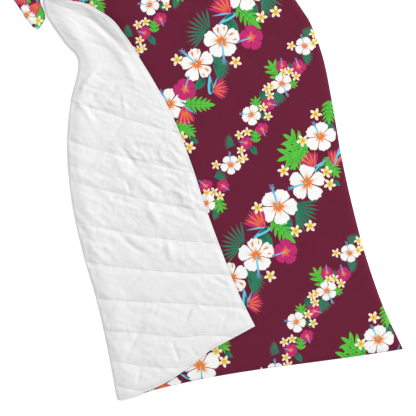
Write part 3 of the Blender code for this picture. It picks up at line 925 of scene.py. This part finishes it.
# White flowers of the large garland with marked petals: flower, then its petals. Those of the
# small garland, under this radius, have none.
MARKED_PETALS = {3: (2, 4), 4: (1, 2)}
SMALL_RADIUS = 12.0
# The garlands' parts, as places in the picture's pixels on the garland nearest its middle.
# Hibiscus: x, y, radius, the stamen's tip x, y.
LARGE_WHITE = (
    (320, 136.5, 16, 313, 122), (306.9, 182.7, 19.5, 288.6, 188.8), (278, 206.6, 19.5, 271.3, 185.1),
    (231.5, 278.2, 17.5, 215.3, 264), (256.3, 255.4, 18.5, 259, 278), (203.8, 317.8, 17, 194, 304),
    (200.6, 366, 19.5, 202.5, 383), (163, 386.5, 18.5, 160, 402))
LARGE_MAGENTA = ((285.5, 251.8, 12.5, 272.4, 256), (219.6, 303.3, 11.5, 223.2, 290.5))
LARGE_FRANGIPANI = (
    (315.5, 114.4), (302.6, 140.8), (283.6, 171), (326.3, 172.1), (329.7, 184.3), (257.4, 207.7),
    (310.2, 226), (295.8, 231), (270.2, 276), (211.5, 274), (216.3, 351.3), (224.1, 361.3))
# Palm fans: foot x, y, radius, first and last direction in degrees.
LARGE_FANS = (
    (294, 204, 28, 8, -82), (244.5, 242.8, 25, 100, 230), (244, 268, 28, -25, -70), (228, 312, 18, 200, 260))
# Leaves: foot x, y, tip x, y and the half width as a share of the length.
LARGE_CUT_LEAVES = (
    (307, 150, 277, 161, 0.46), (306, 150, 283, 134, 0.44), (272.4, 221, 295.5, 243.5, 0.28),
    (219.5, 317.8, 250, 319, 0.24), (329, 101, 329, 125, 0.34), (218, 328, 216, 350, 0.34),
    (211, 336, 230, 351, 0.36), (324.5, 158, 339.5, 178, 0.30), (303, 152, 290, 170, 0.32))
LARGE_OVALS = (
    (259, 231, 273, 249), (240, 292, 229, 304), (286, 214, 289, 234), (224, 352, 233, 357),
    (322, 122, 336, 132), (333, 180, 340, 186))
# Strelitzia: foot x, y, reach, first and last direction, beak's tip, heel and thin spike's tip.
LARGE_STRELITZIAS = (
    (264.1, 227.4, 22, 168, 96, 252.4, 238.8, 270.2, 228, 245.8, 230.4),
    (246.4, 303.4, 17, 44, -42, 243.9, 287.8, 244.5, 308.4, 253, 289.6),
    (218.3, 320.3, 20, -108, -50, 213.6, 315, 220.1, 318.8, 232, 328.4),
    (314, 167, 17, 158, 78, 323.6, 160.6, 314.7, 172.1, 330, 158),
    (334, 166, 17, 112, 44, 345, 148, 336, 158, 342, 140),
    (171, 386, 18, 172, 204, 180, 374, 190, 379, 178, 384))
SMALL_WHITE = (
    (304.4, 46, 10, 301, 34.5), (282, 84, 10.5, 288, 96.5), (251, 115, 10.5, 239.5, 113.7),
    (230.6, 164.7, 10.5, 229.5, 152), (205.7, 203.3, 10.5, 195, 199))
SMALL_MAGENTA = (
    (282, 66, 6.5, 281, 58), (298.5, 67, 7.5, 295.5, 58), (269, 104, 7, 277, 105.5),
    (262, 129, 6.5, 265, 136), (246, 143, 6.5, 239, 141.5), (223, 186, 6.5, 229, 190),
    (205.7, 186, 7, 199, 180.5))
SMALL_FRANGIPANI = (
    (291, 46), (313.5, 33.5), (316.5, 40.5), (313, 43.5), (283.5, 72.5), (289.5, 71.5), (296, 76.5),
    (271, 86), (266.5, 89), (270, 95.5), (263, 107.5), (268, 116), (239.4, 135), (247, 132), (241, 150.5),
    (244, 158), (240, 160), (216, 165), (207, 193), (214, 192), (220, 196))
SMALL_FANS = (
    (306, 40, 14, 110, 50), (300, 52, 15, -8, -62), (277, 88, 18, -55, -112), (235, 145, 12, 200, 120),
    (214, 178, 13, 60, -20), (212, 208, 12, -20, -80))
SMALL_CUT_LEAVES = (
    (279, 78, 268, 60, 0.42), (287, 86, 298, 82, 0.44), (257, 110, 255, 96, 0.44),
    (255.5, 142, 256, 128, 0.44), (217, 199, 223, 213, 0.46))
SMALL_OVALS = ((260, 91, 267, 102), (250, 145, 257, 155), (289, 62, 290, 70), (262, 112, 266, 121))


def px_shift(shift_x, shift_y):
    """A step in the picture as a step on the plan."""
    return complex(shift_x * PX, -shift_y * PX)


def garland(shift, parts, frangipani_radius):
    """One garland: leaves and fans first, then strelitzia, hibiscus and frangipani on top."""
    fans, ovals, cut_leaves, strelitzias, magenta, white, stars = parts

    def spot(px_x, px_y):
        return on_plan(px_x, px_y) + shift

    for x, y, radius, first, last in fans:
        palm_fan(spot(x, y), radius * PX, first, last)
    for x, y, *tip in ovals:
        oval_leaf(spot(x, y), spot(*tip))
    for x, y, *tip, half_width in cut_leaves:
        cut_leaf(spot(x, y), spot(*tip), half_width)
    for number, (x, y, radius, *stamen) in enumerate(white):
        marked = MARKED_PETALS.get(number, ()) if radius > SMALL_RADIUS else ()
        half_width = PETAL_HALF_WIDTH - 0.03 * (number % 2)
        hibiscus(spot(x, y), 0.95 * radius * PX, spot(*stamen), WHITE_KIND, half_width, marked)
    for x, y, radius, *stamen in magenta:
        hibiscus(spot(x, y), radius * PX, spot(*stamen), MAGENTA_KIND, 0.47)
    for x, y, reach, first, last, *ends in strelitzias:
        tip, heel, blue = (spot(*end) for end in zip(ends[::2], ends[1::2]))
        strelitzia(spot(x, y), reach * PX, first, last, tip, heel, blue)
    for number, (x, y) in enumerate(stars):
        frangipani(spot(x, y), frangipani_radius * PX, 0.9 * number)


large_parts = (LARGE_FANS, LARGE_OVALS, LARGE_CUT_LEAVES, LARGE_STRELITZIAS, LARGE_MAGENTA, LARGE_WHITE,
               LARGE_FRANGIPANI)
small_parts = (SMALL_FANS, SMALL_OVALS, SMALL_CUT_LEAVES, (), SMALL_MAGENTA, SMALL_WHITE, SMALL_FRANGIPANI)
# Where each garland lies, in pixels from the one nearest the picture's middle.
for shift_x, shift_y in ((0, 0), (45, 207), (-101.5, -110), (-40, -211), (-203, -220)):
    garland(px_shift(shift_x, shift_y), small_parts, frangipani_radius=4.6)
for shift_x, shift_y in ((0, 0), (-34.5, -214), (58, 203), (-75, -425), (-235, -165)):
    garland(px_shift(shift_x, shift_y), large_parts, frangipani_radius=6.0)
# The head's left corner lies turned, so that the flowers on it are set out on their own.
corner_parts = (
    (), ((31, 1, 24, 6),), ((37, 6, 46, 19, 0.34), (38, 10, 41, 30, 0.34), (20, -6, 31, 3, 0.34)),
    ((40.5, 3, 15, -112, -165, 34, -5, 38, 2, 40, -6), (24, -8, 15, -80, -140, 16, -12, 20, -9, 24, -16)),
    ((14, -2, 8, 8, -8),), ((26.5, 15.5, 11, 16, 20),), ((38.3, 20.8),))
garland(0.0, corner_parts, frangipani_radius=5.0)

# The cloth's outline on the plan, where it lies print side up: hems, and the edge at which it
# turns under at the fold.
FRONT_FLAP_STEPS = 32
front_joint, front_normal, front_across = cloth_grid(FRONT_FLAP_STEPS)
front_along, front_from_hem, front_on_top = cloth_parts(front_normal, front_across)
open_row = int(np.argmax(turns < OPEN_TURN))
last_row, last_column = len(stations) - 1, front_across.shape[1] - 1
outline = []
row, column = 0, 0
for to_row, to_column in ((last_row, 0), (last_row, last_column), (open_row, last_column),
                          (open_row, LYING_STEPS), (0, LYING_STEPS), (0, 0)):
    while (row, column) != (to_row, to_column):
        outline.append(front_joint[row, column, :2])
        row += int(np.sign(to_row - row))
        column += int(np.sign(to_column - column))

# Plain triangles of the plan carry the cloth's own coordinates and its height.
plan_points = [(x, y, 0.0) for x, y, _ in front_joint.reshape(-1, 3)]
plan_cloth = np.stack([front_across, front_along, front_joint[..., 2]], axis=2).reshape(-1, 3)
plan_faces = []
rows, cols = front_across.shape
for row in range(rows - 1):
    for column in range(cols - 1 if row >= open_row else LYING_STEPS):
        a = row * cols + column
        plan_faces += [(a, a + 1, a + cols), (a + 1, a + cols + 1, a + cols)]
plan_tree = BVHTree.FromPolygons(plan_points, plan_faces)
# A distance in millimetres and a triangle's area that count as none.
NO_GAP = 1e-3
NO_AREA = 1e-9


def cloth_at(x, y):
    """Distance across and along the cloth, and joint height, at a plan point."""
    place, _, face, _ = plan_tree.find_nearest((x, y, 0.0))
    a, b, c = plan_faces[face]
    (a_x, a_y, _), (b_x, b_y, _), (c_x, c_y, _) = plan_points[a], plan_points[b], plan_points[c]
    whole = (b_x - a_x) * (c_y - a_y) - (c_x - a_x) * (b_y - a_y)
    if abs(whole) < NO_AREA:
        return plan_cloth[a]
    second = ((place.x - a_x) * (c_y - a_y) - (c_x - a_x) * (place.y - a_y)) / whole
    third = ((b_x - a_x) * (place.y - a_y) - (place.x - a_x) * (b_y - a_y)) / whole
    return plan_cloth[a] * (1.0 - second - third) + plan_cloth[b] * second + plan_cloth[c] * third


# The plum ground's own points stand a step apart in rows, and the rows this share of it apart.
# Then the distance under which the cut takes two points as one.
GROUND_STEP = 12.0
ROW_SHARE = 0.866
CUT_PRECISION = 1e-4
low, high = np.min(outline, axis=0), np.max(outline, axis=0)
inside = []
for line, y in enumerate(np.arange(low[1], high[1], GROUND_STEP * ROW_SHARE)):
    for x in np.arange(low[0] + GROUND_STEP / 2 * (line % 2), high[0], GROUND_STEP):
        if plan_tree.find_nearest((x, y, 0.0))[3] < NO_GAP:
            inside.append((x, y))

# Shape 0 is the plum ground, the cloth's whole outline. Of the inked ones, those that reach it.
shapes = [([complex(*point) for point in outline], PLUM, PLUM, 0.0, 0.0, 1.0)]
shapes += [shape for shape in inked
           if any(low[0] < p.real < high[0] and low[1] < p.imag < high[1] for p in shape[0])]
corners, cut_faces = [], []
for points, *_ in shapes:
    cut_faces.append(list(range(len(corners), len(corners) + len(points))))
    corners += [Vector((p.real, p.imag)) for p in points]
corners += [Vector(point) for point in inside]
cut = delaunay_2d_cdt(corners, [], cut_faces, 0, CUT_PRECISION, True)
flat_points, flat_faces, face_of = cut[0], cut[2], cut[5]


def ink_at(shape, x, y):
    """Colour of an inked shape at a plan point."""
    _, near, far, about, start, end = shape
    share = float(smoothstep((abs(complex(x, y) - about) - start) / (end - start)))
    return near + (far - near) * share


# The printed face's loft on a stitch line and how much it gains far from any, how far a line
# draws it in, and the second family's share.
FRONT_SEAM, FRONT_PUFF = 1.7, 1.5
FRONT_REACH, FRONT_SECOND = 22.0, 0.8


def front_loft(across, along, from_hem):
    """Height of the printed face over the joint: low wadding, and thin at the hem."""
    loft = FRONT_SEAM + FRONT_PUFF * puff(across, drawn(across, along), FRONT_REACH, FRONT_SECOND)
    return HEM + (loft - HEM) * smoothstep(from_hem / HEM_TAPER)


front = bmesh.new()
print_layer = front.loops.layers.float_color.new("print")
cloth_layer = front.loops.layers.uv.new("cloth")
# Each flat point's distances across and along the cloth, and its joint height.
places = np.array([cloth_at(point.x, point.y) for point in flat_points])
flat_across, flat_along = places[:, 0], places[:, 1]
flat_hem = to_hem(flat_across, flat_along)
flat_heights = places[:, 2] + HALF_GAP + front_loft(flat_across, flat_along, flat_hem)
flat_heights -= (CROWN - HEM) * (1.0 - smoothstep(flat_hem / HEM_TAPER))
flat_verts = [front.verts.new((point.x * MM + PLAN_X, point.y * MM + PLAN_Y, height * MM))
              for point, height in zip(flat_points, flat_heights)]
flat_cloth = np.stack([flat_across, drawn(flat_across, flat_along)], axis=1) * MM


def add_face(verts, cloth, face, colours):
    """A smooth face of the front, with the cloth's coordinates and an ink at each corner."""
    made = front.faces.new([verts[corner] for corner in face])
    made.smooth = True
    for loop, corner, colour in zip(made.loops, face, colours):
        loop[print_layer] = (*colour, 1.0)
        loop[cloth_layer].uv = cloth[corner]


# A face inside several shapes has the ink of the one printed last.
for face, owners in zip(flat_faces, face_of):
    if 0 in owners:
        colours = [ink_at(shapes[max(owners)], *flat_points[corner]) for corner in face]
        add_face(flat_verts, flat_cloth, face, colours)
for vertex in [v for v in front.verts if not v.link_faces]:
    front.verts.remove(vertex)

# The stretch that turns at the fold and lies face down is a strip of the same grid. It stays
# above the print and this much below the white back over it, looked for this far to each side.
# Then the weld along its seam, the rim's thickness and the plain colour under the inks.
CLEAR_UNDER = 2.0
CLEAR_ASIDE = 7.0
WELD = 0.3 * MM
RIM_THICKNESS = 1.0 * MM
PLUM_CLOTH = (0.15, 0.02, 0.05)
strip = (slice(None, open_row + 1), slice(LYING_STEPS, None))
strip_loft = front_loft(front_across, front_along, front_from_hem)
front_points = front_joint + front_normal * (HALF_GAP + strip_loft)[..., None]
front_points[..., 2] += lift(front_joint, front_normal, front_across, front_along, front_from_hem,
                             front_on_top)
for row in range(open_row):
    below_back = np.min([np.interp(front_across[row] + aside, across[row], back_points[row, :, 2])
                         for aside in (-CLEAR_ASIDE, 0.0, CLEAR_ASIDE)], axis=0) - CLEAR_UNDER
    held = np.clip(front_points[row, :, 2], FRONT_REST, np.maximum(below_back, FRONT_REST))
    front_points[row, :, 2] += (held - front_points[row, :, 2]) * front_on_top[row]
strip_places = front_points[strip] * MM + np.array([PLAN_X, PLAN_Y, 0.0])
strip_cloth = np.stack([front_across, drawn(front_across, front_along)], axis=2)[strip] * MM
strip_rows, strip_cols = strip_places.shape[:2]
strip_verts = [front.verts.new(place) for place in strip_places.reshape(-1, 3)]
strip_cloth = strip_cloth.reshape(-1, 2)
for row in range(strip_rows - 1):
    for column in range(strip_cols - 1):
        a = row * strip_cols + column
        corners_here = (a, a + strip_cols, a + strip_cols + 1, a + 1)
        add_face(strip_verts, strip_cloth, corners_here, [PLUM] * 4)
bmesh.ops.remove_doubles(front, verts=front.verts, dist=WELD)
print_front = new_object("print_front", front)
thicken(print_front, RIM_THICKNESS, hem_only=True)
front_tree, front_shader = plain_material(
    print_front, "plum_print", PLUM_CLOTH, {"Roughness": 0.8, "Specular IOR Level": 0.2})
print_colour = front_tree.nodes.new("ShaderNodeAttribute")
print_colour.attribute_name = "print"
# The print's colour is darkened along the seams' grooves as painted shade.
cloth_finish(front_tree, front_shader, print_colour.outputs["Color"],
             tone_depth=0.10, painted_groove_shade=0.06, height_share=0.5)
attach(print_front, "root")
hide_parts("printed_front")
